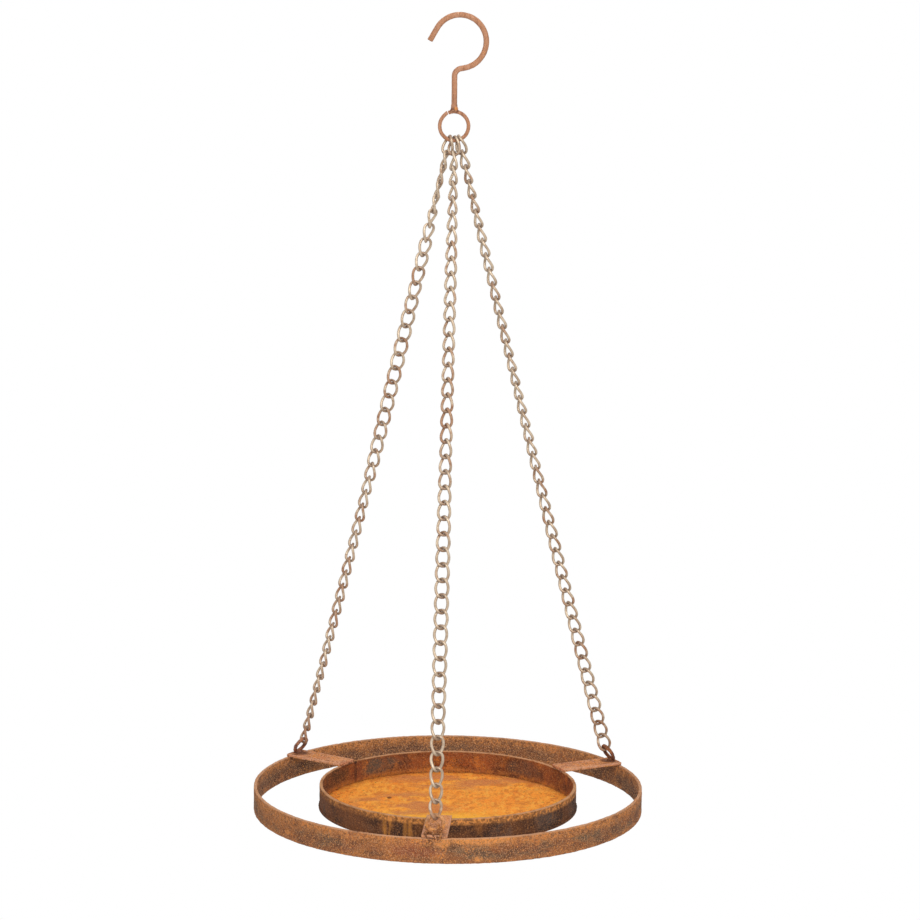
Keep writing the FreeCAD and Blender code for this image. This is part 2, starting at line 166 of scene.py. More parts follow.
def full_turn(count):
    """Angles spread evenly round a full turn."""
    return np.linspace(0, 2 * np.pi, count, endpoint=False)


def unit(vectors):
    """Vectors over their lengths."""
    return vectors / np.linalg.norm(vectors, axis=-1, keepdims=True)


def upright(angles):
    """Directions in the XZ plane, at angles from X towards Z."""
    return np.stack([np.cos(angles), 0 * angles, np.sin(angles)], -1)


def round_axis(radius, bearing, height):
    """A place at a radius from the Z axis, on a bearing from X, at a height."""
    return radius * math.cos(bearing), radius * math.sin(bearing), height


def lumps(points, size, seed):
    """Smooth uneven heights of about -1 to 1: the sum of sine waves about size long, in all directions."""
    draw = np.random.default_rng(seed)
    waves = 14
    directions = unit(draw.normal(size=(waves, 3)))
    numbers = directions * (2 * np.pi / size * draw.uniform(0.6, 1.7, (waves, 1)))
    phases = draw.uniform(0, 2 * np.pi, waves)
    return np.sin(points @ numbers.T + phases).sum(-1) / math.sqrt(waves) * 0.8


def normals_of(rings, endless):
    """Directions square to a grid of closed rings: the cross product of its two differences."""
    if endless:
        along = np.roll(rings, -1, -3) - np.roll(rings, 1, -3)
    else:
        along = np.gradient(rings, axis=-3)
    around = np.roll(rings, -1, -2) - np.roll(rings, 1, -2)
    square = np.cross(around, along)
    square /= np.maximum(np.linalg.norm(square, axis=-1, keepdims=True), 1e-12)
    middle = rings.mean(-2, keepdims=True)
    outward = np.sign(((rings - middle) * square).sum())
    return square * (outward or 1)


def roughen(rings, endless, *layers):
    """Move a grid's points square to it by sums of lumps, each layer given as height, size and seed."""
    heights = sum(height * lumps(rings, size, seed) for height, size, seed in layers)
    return rings + normals_of(rings, endless) * heights[..., None]


def loft(rings, endless=False):
    """Points and faces through closed rings of points, joined end to end or closed by a fan at each end."""
    count, around = rings.shape[:2]
    rows = np.arange(count if endless else count - 1)[:, None]
    columns = np.arange(around)[None, :]
    following = (rows + 1) % count
    beside = (columns + 1) % around
    quads = np.stack([
        rows * around + columns,
        rows * around + beside,
        following * around + beside,
        following * around + columns,
    ], -1).reshape(-1, 4)
    points = rings.reshape(-1, 3)
    faces = quads.tolist()
    if not endless:
        points = np.concatenate([points, [rings[0].mean(0), rings[-1].mean(0)]])
        first = np.arange(around)
        last = first + (count - 1) * around
        start, end = count * around, count * around + 1
        faces += np.stack([np.full(around, start), np.roll(first, -1), first], 1).tolist()
        faces += np.stack([np.full(around, end), last, np.roll(last, -1)], 1).tolist()
    return points, faces


def volume(points, faces):
    """Volume inside a closed mesh, from the tetrahedra between each triangle and the origin."""
    corners = points[[(face[0], *face[at:at + 2]) for face in faces for at in range(1, len(face) - 1)]]
    return np.einsum("ij,ij->", corners[:, 0], np.cross(corners[:, 1], corners[:, 2])) / 6


def piece(name, meshes, material, body, replaced, attributes=()):
    """One object of several closed meshes, riding on a body in place of CAD nodes, with its finish."""
    points, faces, start = [], [], 0
    for part_points, part_faces in meshes:
        flipped = volume(part_points, part_faces) < 0
        faces += [[start + corner for corner in (face[::-1] if flipped else face)] for face in part_faces]
        points.append(part_points)
        start += len(part_points)
    mesh = bpy.data.meshes.new(name)
    mesh.from_pydata(np.concatenate(points).tolist(), [], faces)
    mesh.polygons.foreach_set("use_smooth", [True] * len(mesh.polygons))
    for attribute, values in attributes:
        values = np.concatenate([np.ravel(part) for part in values])
        mesh.attributes.new(attribute, "FLOAT", "POINT").data.foreach_set("value", values)
    mesh.materials.append(material)
    mesh.update()
    made = bpy.data.objects.new(name, mesh)
    bpy.context.scene.collection.objects.link(made)
    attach(made, body)
    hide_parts(*replaced)


def turned(points, bearing):
    """Points turned about the Z axis by an angle."""
    cos, sin = math.cos(bearing), math.sin(bearing)
    return points @ np.array([[cos, sin, 0], [-sin, cos, 0], [0, 0, 1]])


def bar_section(thickness, width, rounding, rows):
    """Outline of a flat bar across its width, with how near each point is to an edge.

    It is a rectangle with quarter circles for corners, and rows of points on its long sides.
    """
    arcs, edge = [], []
    corner = np.linspace(0, np.pi / 2, 5)
    side = np.linspace(-1, 1, rows + 2)[1:-1] * (width / 2 - rounding)
    for quarter, (x, z) in enumerate(((1, 1), (-1, 1), (-1, -1), (1, -1))):
        angles = corner + quarter * np.pi / 2
        arcs.append(np.stack([
            x * (thickness / 2 - rounding) + rounding * np.cos(angles),
            z * (width / 2 - rounding) + rounding * np.sin(angles),
        ], 1))
        edge.append(np.ones(len(corner)))
        if quarter in (1, 3):
            face = -1 if quarter == 1 else 1
            arcs.append(np.stack([np.full(rows, face * thickness / 2), face * side], 1))
            edge.append(np.zeros(rows))
    return np.concatenate(arcs), np.concatenate(edge)


def bent_bar(radius, foot, top, joint, notch_side, seed):
    """A flat bar bent round: its section carried round a circle, with a V notch and a weld seam at the joint.

    The notch cuts into the edge on its side by depth * (1 - distance / half width). The seam is a low
    ridge  height * exp(-(distance / width)^2)  down both faces.
    """
    even = full_turn(540)
    close = np.linspace(-1, 1, 31) * NOTCH_WIDTH * 2.5 / radius
    elsewhere = np.abs(even - np.pi) > NOTCH_WIDTH * 2.6 / radius
    angles = np.sort(np.concatenate([even[elsewhere], close + np.pi]))
    section, edge = bar_section(BAR_THICKNESS, top - foot, BAR_ROUNDING, 14)
    away = (angles - np.pi)[:, None] * radius
    across = radius - BAR_THICKNESS / 2 + section[None, :, 0]
    up = np.broadcast_to(section[None, :, 1], (len(angles), len(section)))
    edge_share = np.clip((notch_side * up / ((top - foot) / 2) - 0.55) / 0.45, 0, 1)
    bite = NOTCH_DEPTH * np.clip(1 - np.abs(away) / (NOTCH_WIDTH / 2), 0, 1)
    up = up - notch_side * bite * edge_share
    ridge = 0.00022 * np.exp(-(away / 0.0011) ** 2)
    across = across + np.sign(section[None, :, 0]) * ridge
    bearing = angles[:, None] - np.pi + joint
    rings = np.stack([across * np.cos(bearing), across * np.sin(bearing), up + (foot + top) / 2], -1)
    rings = roughen(rings, True, (0.00010, 0.006, seed), (0.00006, 0.0022, seed + 1))
    return rings, np.tile(edge, len(angles))


def lathe(profile, around):
    """Rings round the Z axis, one at each radius and height of a profile."""
    angles = full_turn(around)
    radii, heights = np.array(profile).T
    return np.stack([
        radii[:, None] * np.cos(angles),
        radii[:, None] * np.sin(angles),
        np.broadcast_to(heights[:, None], (len(radii), around)),
    ], -1)


def base_sheet():
    """The dish's base: a disc with rounded rim, uneven by a fraction of a millimetre."""
    top = DISH_FOOT
    under = top - BASE_THICKNESS
    rim = DISH_RADIUS + BASE_OVERHANG
    half = BASE_THICKNESS / 2
    rounding = np.linspace(np.pi / 2, -np.pi / 2, 7)
    inner = np.linspace(0.001, rim - half, 60)
    profile = [(radius, top) for radius in inner]
    profile += [
        (rim - half + half * math.cos(angle), top - half + half * math.sin(angle)) for angle in rounding
    ]
    profile += [(radius, under) for radius in inner[::-6]]
    rings = lathe(profile, 300)
    inward = DISH_RADIUS - 0.006 - np.hypot(rings[..., 0], rings[..., 1])
    sag = 0.0003 * lumps(rings, 0.05, 31) * np.clip(inward / 0.02, 0, 1)
    rings[..., 2] += np.clip(sag, -0.0003, 0.0004)
    return rings


def weld_bead(radius, height, thickness, seed):
    """An uneven weld bead round the Z axis: a closed tube whose thickness swells and shrinks along it."""
    angles = full_turn(600)
    centres = np.stack([radius * np.cos(angles), radius * np.sin(angles), np.full(len(angles), height)], -1)
    swell = thickness * (1 + 0.3 * lumps(centres, 0.006, seed))[:, None]
    around = full_turn(10)
    out = radius + swell * np.cos(around)
    up = height + swell * np.sin(around)
    rings = np.stack([out * np.cos(angles)[:, None], out * np.sin(angles)[:, None], up], -1)
    return loft(roughen(rings, True, (0.00015, 0.002, seed + 1)), endless=True)


def spoke_bar():
    """A spoke along +X: a flat bar, square at the dish, its far end following the hoop's outer face."""
    section, edge = bar_section(BAR_THICKNESS, BAR_WIDTH, BAR_ROUNDING, 14)
    across, up = section[:, 1], section[:, 0]
    start = DISH_RADIUS - BAR_THICKNESS
    shares = np.concatenate([[0, 0, 0.002], np.linspace(0.01, 0.99, 50), [0.998, 1, 1]])
    shrink = np.concatenate([[0.5, 0.93, 1], np.ones(50), [1, 0.93, 0.5]])
    end = np.sqrt(HOOP_RADIUS ** 2 - across[None, :] ** 2)
    out = start + shares[:, None] * (end - start)
    height = SPOKE_TOP - BAR_THICKNESS / 2 + up[None, :] * shrink[:, None]
    rings = np.stack([out, across[None, :] * shrink[:, None], height], -1)
    at_end = np.clip(1 - np.minimum(shares, 1 - shares) / 0.02, 0, 1)
    # Nearness to the bar's edges and ends, for paler edges that are partly wear and partly painted highlight.
    edge_nearness = np.maximum(edge[None, :], at_end[:, None])
    rings = roughen(rings, False, (0.00009, 0.006, 33), (0.00006, 0.002, 34))
    return rings, np.append(edge_nearness.ravel(), (1, 1))


def bead_line(line, thickness, seed):
    """An uneven weld bead along a line: a round tube that swells and shrinks and is pinched at its ends."""
    heading = unit(np.gradient(line, axis=0))
    nearly_up = np.array([0.31, 0.17, 0.94])
    across = unit(np.cross(heading, nearly_up))
    side = np.cross(across, heading)
    near_end = np.minimum(np.arange(len(line)), np.arange(len(line))[::-1])
    swell = (1 + 0.3 * lumps(line, 0.005, seed)) * np.minimum(1, near_end / 3 + 0.2)
    rings = tube(line, across, side, thickness, 10, swell)
    return loft(roughen(rings, False, (0.00016, 0.002, seed + 1)))


def spoke_welds(arm):
    """Beads under a spoke's two ends, where it crosses the dish wall and the hoop."""
    across = np.linspace(-0.0082, 0.0082, 26)
    beads = []
    first_seed = {"front": 91, "left": 94, "right": 97}[arm]
    places = (
        (HOOP_RADIUS - BAR_THICKNESS, BAR_WIDTH - 0.0002, 0.0007),
        (HOOP_RADIUS - 0.0005, BAR_WIDTH - 0.0001, 0.0007),
        (DISH_RADIUS, BAR_WIDTH - 0.0003, 0.0008),
        (DISH_RADIUS - BAR_THICKNESS, BAR_WIDTH - 0.0005, 0.0009),
    )
    for place, (radius, height, thickness) in enumerate(places):
        wander = 0.0004 * lumps(across[:, None] * [1, 0, 0], 0.007, first_seed + place)
        line = np.stack([np.sqrt(radius ** 2 - across ** 2), across, height + wander], 1)
        beads.append(bead_line(line, thickness, first_seed + 3 * place))
    return beads


def eye_curls():
    """Curled weld runs of the front eye, along +X: over the spoke's end, on the hoop's face, in the eye.

    The first four are given as seed, thickness and corners, in millimetres from the axis, sideways and
    above the spoke's top, and smoothed by shares of a quarter, a half and a quarter. The last two are
    spirals, whose reach grows or shrinks evenly with the turn: on the hoop's face and in the eye's plane.
    """
    runs = (
        (101, 0.0012, (
            (153, -5.4, 0.3), (156, -6.8, 0.7), (159, -6.5, 0.5), (160, -6.0, -1.6), (160, -5.2, -4.4),
        )),
        (104, 0.0013, (
            (154, 4.6, 0.4), (157, 5.8, 0.7), (159.2, 5.2, 0.4), (160, 4.2, -1.8), (160, 5.0, -4.2),
        )),
        (107, 0.0012, ((156, -1.8, 0.6), (158.6, -0.8, 0.7), (159.9, -0.2, -1.0), (159.9, 1.0, -3.8))),
        (110, 0.0010, ((156.5, 2.4, 0.5), (158.8, 2.6, 0.6), (160, 2.0, -1.4), (160, 2.8, -5.0))),
    )
    beads = []
    for seed, thickness, corners in runs:
        corners = np.array(corners) / 1000 + [0, 0, SPOKE_TOP]
        steps = np.linspace(0, len(corners) - 1, 34)
        line = np.stack([np.interp(steps, np.arange(len(corners)), values) for values in corners.T], 1)
        line[1:-1] = (line[:-2] + 2 * line[1:-1] + line[2:]) / 4
        line[:, 0] = np.minimum(line[:, 0], HOOP_RADIUS - CURL_SINK)
        beads.append(bead_line(line, thickness, seed))
    turn = np.linspace(0, 3.3 * np.pi, 46)
    reach = 0.0007 + 0.0022 * turn / turn[-1]
    side = -0.0032 + reach * np.cos(turn)
    out = np.sqrt(HOOP_RADIUS ** 2 - side ** 2) - CURL_SINK / 2
    beads.append(bead_line(np.stack([out, side, 0.0160 + reach * np.sin(turn)], 1), 0.0008, 99))
    turn = np.linspace(np.radians(172), np.radians(395), 44)
    reach = 0.0046 - 0.0024 * (turn - turn[0]) / (turn[-1] - turn[0])
    side = (reach * np.cos(turn))[:, None]
    up = (reach * np.sin(turn) - 0.0012)[:, None]
    line = EYE_MIDDLE + [0.0008, 0, 0] + side * [0, 1, 0] + up * EYE_UP
    beads.append(bead_line(line, 0.0012, 113))
    return beads


def crest(points):
    """How far points along +X stand out of the steel they are welded on, from 0 at its surface to 1.

    It is the larger of the height above the spoke's top and the distance out of the hoop's face, each
    as a share of a bead's usual rise.
    """
    rise = (points[:, 2] - SPOKE_TOP) / WELD_RISE
    out = (np.hypot(points[:, 0], points[:, 1]) - HOOP_RADIUS) / WELD_STAND_OUT
    return np.clip(np.maximum(rise, out), 0, 1)


def tube(centres, across, side, radius, around, swell=1.0):
    """A round tube along centres: a circle of radius * swell in the two directions square to the run."""
    angles = full_turn(around)
    size = radius * np.broadcast_to(swell, len(centres))[:, None, None]
    return centres[:, None] + size * (
        np.cos(angles)[None, :, None] * across[:, None] + np.sin(angles)[None, :, None] * side[:, None]
    )


def sawn_rod(points, headings, radius, around):
    """A rod along points in the XZ plane: a round tube whose ends are sawn and a little bevelled."""
    first = points[:1] + headings[:1] * SAW_BEVEL
    last = points[-1:] - headings[-1:] * SAW_BEVEL
    points = np.concatenate([points[:1], first, points[1:-1], last, points[-1:]])
    headings = np.concatenate([headings[:1], headings, headings[-1:]])
    swell = np.ones(len(points))
    swell[[0, -1]] = 0.86
    side = np.broadcast_to([0.0, 1, 0], points.shape)
    return tube(points, np.cross(side, headings), side, radius, around, swell)


def eye_loop():
    """An eye along +X: a wire circle across the spoke, leaning in."""
    angles = full_turn(56)
    side = np.array([0.0, 1, 0])
    out = np.cos(angles)[:, None] * side + np.sin(angles)[:, None] * EYE_UP
    normals = np.broadcast_to(np.cross(side, EYE_UP), out.shape)
    rings = tube(EYE_MIDDLE + EYE_MEAN * out, out, normals, EYE_WIRE / 2, 18)
    return roughen(rings, True, (0.00016, 0.004, 41), (0.00007, 0.0016, 42))


def mound(centre, reach, width, rise, seed):
    """A weld mound: a low dome with an uneven rim, of height  rise * sqrt(1 - out^2)  at a share out."""
    out = np.sin(np.linspace(0.03, 1, 14) * np.pi / 2)[:, None]
    angles = full_turn(40)
    rim = np.stack([np.cos(angles), np.sin(angles), 0 * angles], -1)
    spread = 1 + 0.16 * lumps(rim, 1.4, seed)
    height = np.sqrt(np.clip(1 - out ** 2, 0, 1))
    rings = np.stack([
        centre[0] + reach * out * rim[:, 0] * spread,
        centre[1] + width * out * rim[:, 1] * spread,
        np.broadcast_to(centre[2] + rise * height, (len(out), len(angles))),
    ], -1)
    rings = roughen(rings, False, (0.00022, 0.0022, seed + 1))
    floor = rings[-1:].copy()
    floor[..., 2] = centre[2] - 0.0004
    return loft(np.concatenate([rings, floor]))


def bent_ring():
    """The chains' ring: wire round a circle from side to side of its gap, one end sprung out a little."""
    half_gap = RING_GAP / RING_MEAN / 2
    share = np.linspace(0, 1, 120)
    angles = RING_GAP_BEARING + half_gap + share * (2 * np.pi - 2 * half_gap)
    radius = RING_MEAN + 0.0005 * np.clip(1 - share / 0.06, 0, 1) ** 2
    centres = np.array([0, 0, RING_HEIGHT]) + radius[:, None] * upright(angles)
    rings = sawn_rod(centres, upright(angles + np.pi / 2), RING_WIRE / 2, 18)
    return roughen(rings, False, (0.00005, 0.004, 51))


def hook_line():
    """The hook's middle line and its directions, in the XZ plane: stem, bend, short straight, arc, tip."""
    turn, bend = HOOK_BEND_TURN, HOOK_BEND_RADIUS

    def arc(centre, radius, first, last, count):
        angles = np.linspace(first, last, count)
        return centre + radius * upright(angles), np.sign(last - first) * upright(angles + np.pi / 2)

    def run(start, end, count):
        points = start + np.linspace(0, 1, count)[:, None] * (end - start)
        return points, np.broadcast_to(unit(end - start), points.shape)

    foot = np.array([0, 0, RING_TOP + 0.0008])
    stem_end = np.array([0, 0, RING_TOP + HOOK_STEM])
    bend_centre = stem_end + [bend, 0, 0]
    bend_end = bend_centre + bend * upright(np.pi - turn)
    straight = (HOOK_OFFSET + HOOK_RADIUS * math.cos(turn) - bend_end[0]) / math.sin(turn)
    arc_start = bend_end + straight * upright(np.pi / 2 - turn)
    centre = arc_start + HOOK_RADIUS * upright(np.pi - turn)
    arc_end = centre + HOOK_RADIUS * upright(HOOK_TIP_BEARING)
    tip = arc_end + HOOK_TIP * upright(HOOK_TIP_BEARING + np.pi / 2)
    stretches = (
        run(foot, stem_end, 24),
        arc(bend_centre, bend, np.pi, np.pi - turn, 16),
        run(bend_end, arc_start, 5),
        arc(centre, HOOK_RADIUS, -turn, HOOK_TIP_BEARING, 90),
        run(arc_end, tip, 14),
    )
    return [
        np.concatenate([stretch[which][:-1] for stretch in stretches] + [stretches[-1][which][-1:]])
        for which in (0, 1)
    ]


def hook_rod():
    """The hook's rod along its middle line."""
    rings = sawn_rod(*hook_line(), HOOK_ROD / 2, 24)
    return roughen(rings, False, (0.00006, 0.005, 61), (0.00003, 0.0018, 62))


def stem_weld():
    """The weld at the stem's foot: rings that widen from the rod along the ring, as share^2.2 down it.

    Its last part bends down over the ring's wire, to follow the ring's circle.
    """
    share = np.linspace(0, 1, 22)[:, None]
    angles = full_turn(36)
    spread = share ** 2.2
    along = HOOK_ROD / 2 * 1.02 + 0.0019 * spread
    through = HOOK_ROD / 2 * 1.02 + 0.0002 * spread
    x = along * np.cos(angles)
    y = through * np.sin(angles)
    crest = RING_HEIGHT + np.sqrt((RING_MEAN + 0.0005) ** 2 - x ** 2)
    z = RING_TOP + 0.0056 - share * 0.0056
    z = np.where(share > 0.7, z + (crest - RING_TOP - 0.0002) * (share - 0.7) / 0.3, z)
    rings = np.stack([x, y, z], -1)
    return loft(roughen(rings, False, (0.00028, 0.0026, 71), (0.00012, 0.0012, 72)))


# Chains


def chain_frame(arm):
    """A chain's top on the ring, its three directions and its pitch, from its places on ring and eye."""
    crown = np.array(round_axis(CROWN_RADIUS, ARM_BEARINGS[arm], CROWN_HEIGHT))
    swing = RING_PLACES[arm] * CHAIN_SPACING / RING_MEAN
    hang = np.array([RING_MEAN * math.sin(swing), 0, RING_HEIGHT - RING_MEAN * math.cos(swing)])
    reach = np.linalg.norm(hang - crown)
    up = (hang - crown) / reach
    across = unit(np.array([1.0, 0, 0]) - up * up[0])
    pitch = (reach - LINK_PLAY + 2 * HANG_PLAY + WIRES) / LINKS
    return hang, np.stack([across, np.cross(up, across), up]), pitch


def twisted_link(steps=28, around=8):
    """Rings of one twisted link about its middle, with how near each ring is to a crown and to the lower one.

    The middle line is  r = a |sin t|^squareness, z = b cos t,  turned about Z by
    -twist / 2 * (1 + cos t),  so that its lower crown stands square to X and its upper one a twist further.
    """
    t = full_turn(steps)
    a = (LINK_WIDTH - LINK_WIRE) / 2
    b = (LINK_PITCH + LINK_PLAY + LINK_WIRE) / 2
    turn = -LINK_TWIST / 2 * (1 + np.cos(t))
    r = a * np.sign(np.sin(t)) * np.abs(np.sin(t)) ** LINK_SQUARENESS
    centres = np.stack([r * np.cos(turn), r * np.sin(turn), b * np.cos(t)], -1)
    heading = unit(np.roll(centres, -1, 0) - np.roll(centres, 1, 0))
    side = np.stack([-np.sin(turn), np.cos(turn), np.zeros(steps)], -1)
    side = unit(side - heading * (side * heading).sum(1, keepdims=True))
    near_crown = np.repeat(np.cos(t) ** 2, around)
    low = np.repeat(np.clip(-np.cos(t), 0, 1), around)
    return tube(centres, np.cross(side, heading), side, LINK_WIRE / 2, around), near_crown, low


def chain(arm, material):
    """One chain: its links hung one below the other, turned as the photograph shows, each with its rust.

    The links follow a parabola that lies  4 * sag * share * (1 - share)  below the straight line, and
    each leans as the parabola slopes at its middle.
    """
    hang, axes, pitch = chain_frame(arm)
    draw = np.random.default_rng({"front": 80, "left": 79, "right": 81}[arm])
    rings, near_crown, low = twisted_link()
    numbers = np.arange(1, LINKS + 1)
    turns = np.radians(np.interp(numbers, *LINK_TURNS[arm]))
    rusts = np.interp(numbers, *LINK_RUST[arm]) + draw.uniform(-0.3, 0.3, LINKS)
    first = (RING_WIRE - LINK_PLAY) / 2 + HANG_PLAY
    up = np.array([0.0, 0, 1])
    down = unit(axes @ (axes[2] * axes[2, 2] - up))
    links, rust, contact = [], [], []
    for number, angle, rusted_share in zip(numbers, turns, rusts):
        share = (number - 0.5) / LINKS
        lean = math.atan(4 * CHAIN_SAG * (1 - 2 * share) / (LINKS * pitch))
        local = turned(rings, angle)
        along = (local @ up)[..., None]
        below = (local @ down)[..., None]
        local = local + along * ((math.cos(lean) - 1) * up - math.sin(lean) * down)
        local = local + below * ((math.cos(lean) - 1) * down + math.sin(lean) * up)
        local = local + up * (first - (number - 0.5) * pitch) + down * (4 * CHAIN_SAG * share * (1 - share))
        links.append(loft(hang + local @ axes, endless=True))
        stain = 1.2 if arm == "front" and number == LINKS else 0
        rust.append(rusted_share + stain * low)
        contact.append(near_crown)
    nodes = [f"chain_{arm}_top_link", f"chain_{arm}_links", f"chain_{arm}_bottom_link"]
    piece(f"chain_{arm}", links, material, TRAY, nodes, (("rust", rust), ("contact", contact)))


# Materials


def socket_group(name, inputs, *outputs):
    """An empty shader node group: number and vector inputs with their usual values, and number outputs."""
    group = bpy.data.node_groups.new(name, "ShaderNodeTree")
    for label, usual in inputs.items():
        kind = "NodeSocketVector" if isinstance(usual, tuple) else "NodeSocketFloat"
        group.interface.new_socket(label, in_out="INPUT", socket_type=kind).default_value = usual
    for label in outputs:
        group.interface.new_socket(label, in_out="OUTPUT", socket_type="NodeSocketFloat")
    return group, group.nodes.new("NodeGroupInput").outputs, group.nodes.new("NodeGroupOutput").inputs


def node(tree, kind, values=(), **settings):
    """A shader node of a kind with its settings, its inputs set or linked by name or number."""
    made = tree.nodes.new("ShaderNode" + kind)
    for label, setting in settings.items():
        setattr(made, label, setting)
    for where, given in dict(values).items():
        if isinstance(given, bpy.types.NodeSocket):
            tree.links.new(given, made.inputs[where])
        else:
            made.inputs[where].default_value = given
    return made


def maths(tree, operation, *values):
    """One step of arithmetic between sockets or numbers."""
    return node(tree, "Math", enumerate(values), operation=operation).outputs[0]


def blend(tree, share, first, second):
    """The first colour giving way to the second as the share goes from 0 to 1."""
    return node(tree, "Mix", {0: share, 6: first, 7: second}, data_type="RGBA").outputs[2]


def vector_maths(tree, operation, *values):
    """One step of arithmetic between vectors: the outputs of its node."""
    return node(tree, "VectorMath", enumerate(values), operation=operation).outputs


def smooth(tree, value, low, high):
    """How far a value has come from low to high, from 0 to 1, easing in and out."""
    return node(tree, "MapRange", {0: value, 1: low, 2: high},
                interpolation_type="SMOOTHSTEP").outputs[0]


def place_in(tree):
    """The place on the object that is being shaded, in Object coordinates."""
    return node(tree, "TexCoord").outputs["Object"]


def make_patches():
    """Mask of uneven patches: noise of a scale, cut at a level with a soft or sharp edge."""
    group, given, result = socket_group("patches", {
        "Scale": 100.0, "Level": 0.5, "Softness": 0.1,
        "Shift": 0.0, "Detail": 5.0, "Stretch": (1.0, 1.0, 1.0),
    }, "Mask")
    place = vector_maths(group, "MULTIPLY", place_in(group), given["Stretch"])[0]
    noise = node(group, "TexNoise", {
        "Vector": place, "Scale": given["Scale"], "Detail": given["Detail"],
        "Roughness": 0.6, "W": given["Shift"],
    }, noise_dimensions="4D").outputs[0]
    low = maths(group, "SUBTRACT", given["Level"], given["Softness"])
    high = maths(group, "ADD", given["Level"], given["Softness"])
    group.links.new(smooth(group, noise, low, high), result["Mask"])
    return group


def make_bands():
    """Height above the hoop's foot and distance from the tray's axis, as masks between two values each."""
    group, given, result = socket_group(
        "bands", {"Low": 0.0, "High": 1.0, "Near": 0.0, "Far": 1.0}, "Up", "Out",
    )
    split = node(group, "SeparateXYZ", {0: place_in(group)}).outputs
    flat = node(group, "CombineXYZ", {0: split[0], 1: split[1]}).outputs[0]
    distance = vector_maths(group, "LENGTH", flat)["Value"]
    group.links.new(smooth(group, split[2], given["Low"], given["High"]), result["Up"])
    group.links.new(smooth(group, distance, given["Near"], given["Far"]), result["Out"])
    return group


def make_spot():
    """Mask of one place: 1 within an oval of a size about a centre, fading to 0 outside it."""
    group, given, result = socket_group(
        "spot", {"Centre": (0.0, 0.0, 0.0), "Size": (0.01, 0.01, 0.01)}, "Mask",
    )
    away = vector_maths(group, "SUBTRACT", place_in(group), given["Centre"])[0]
    away = vector_maths(group, "DIVIDE", away, given["Size"])[0]
    distance = vector_maths(group, "LENGTH", away)["Value"]
    group.links.new(smooth(group, distance, SPOT_EDGE, SPOT_CORE), result["Mask"])
    return group


PATCHES = make_patches()
BANDS = make_bands()
SPOT = make_spot()


class Coat:
    """A material under way: its colour so far, and short ways to lay masks and colours over it."""

    def __init__(self, name, ground, specular=0.3):
        self.material = bpy.data.materials.new(name)
        self.material.use_nodes = True
        self.tree = self.material.node_tree
        self.shader = self.tree.nodes["Principled BSDF"]
        self.shader.inputs["Specular IOR Level"].default_value = specular
        self.ground = colour(ground)

    def group(self, group, **values):
        return node(self.tree, "Group", values, node_tree=group).outputs

    def patches(self, scale, level, softness, shift, stretch=(1, 1, 1), detail=5.0):
        return self.group(PATCHES, Scale=scale, Level=level, Softness=softness, Shift=shift,
                          Stretch=stretch, Detail=detail)["Mask"]

    def specks(self, *values):
        """Patches with smooth outlines, for grain."""
        return self.patches(*values, detail=SPECK_DETAIL)

    def above(self, low, high):
        return self.group(BANDS, Low=low, High=high)["Up"]

    def beyond(self, near, far):
        return self.group(BANDS, Near=near, Far=far)["Out"]

    def spot(self, centre, size):
        return self.group(SPOT, Centre=centre, Size=size)["Mask"]

    def attribute(self, name):
        return node(self.tree, "Attribute", attribute_name=name).outputs["Fac"]

    def maths(self, operation, *values):
        return maths(self.tree, operation, *values)

    def less(self, mask):
        """What a mask leaves out: 1 less the mask."""
        return self.maths("SUBTRACT", 1.0, mask)

    def times(self, *values):
        """The product of masks and numbers."""
        product = values[0]
        for value in values[1:]:
            product = self.maths("MULTIPLY", product, value)
        return product

    def lifted(self, mask, least):
        """A mask whose zero is raised to a least value, while its 1 stays."""
        return self.maths("ADD", self.times(mask, 1 - least), least)

    def over(self, code, share, *masks):
        """Lay a colour over the ground at a share of its strength, where the product of the masks is 1."""
        mask = self.times(*masks)
        if share != 1:
            mask = self.times(mask, share)
        self.ground = blend(self.tree, mask, self.ground, colour(code))

    def mottle(self, code, share, *patches):
        """Lay a colour over the ground in uneven patches."""
        self.over(code, share, self.patches(*patches))

    def blot(self, code, share, centre, size, *masks):
        """Lay a colour over one place, broken up by further masks."""
        self.over(code, share, self.spot(centre, size), *masks)

    def link(self, socket, label):
        self.tree.links.new(socket, self.shader.inputs[label])

    def bump(self, strength, depth, height):
        made = node(self.tree, "Bump", {"Strength": strength, "Distance": depth, "Height": height})
        self.link(made.outputs[0], "Normal")

    def crumble(self, pit, crumb, spark, shift, share=0.8, scale=900.0, depth=0.0006):
        """Grain over the ground, about a millimetre wide: dark pits, light crumbs, bright sparks, and relief.

        Pits are full and sparks weak where the mask of clusters is 1, and the other way round where it is 0.
        """
        pits = self.less(self.specks(scale, 0.43, 0.06, shift + 1))
        crumbs = self.specks(scale * 1.1, 0.57, 0.06, shift + 2)
        sparks = self.specks(scale * 0.7, 0.62, 0.05, shift + 3)
        lumpy = self.patches(scale * 0.25, 0.5, 0.2, shift + 4)
        clusters = self.patches(scale * 0.08, 0.5, 0.12, shift + 5)
        pits = self.times(pits, self.lifted(clusters, 0.4))
        sparks = self.times(sparks, self.less(self.times(clusters, 0.6)))
        for code, grain in ((pit, pits), (crumb, crumbs), (spark, sparks)):
            self.over(code, share, grain)
        raised = self.maths("ADD", self.maths("ADD", crumbs, sparks), self.times(lumpy, 2.0))
        self.bump(0.7, depth, self.maths("SUBTRACT", raised, pits))
        self.link(self.maths("SUBTRACT", 0.92, self.times(crumbs, 0.2)), "Roughness")

    def rub_and_highlight(self, code, share, heights, shift):
        """Lay a paler colour along the edges that stand above two heights: partly edge wear, partly painted
        highlight.
        """
        edge = self.times(self.maths("POWER", self.attribute("edge"), 3.0), self.above(*heights))
        self.over(code, share, edge, self.patches(90.0, 0.4, 0.15, shift))

    def done(self):
        self.link(self.ground, "Base Color")
        return self.material


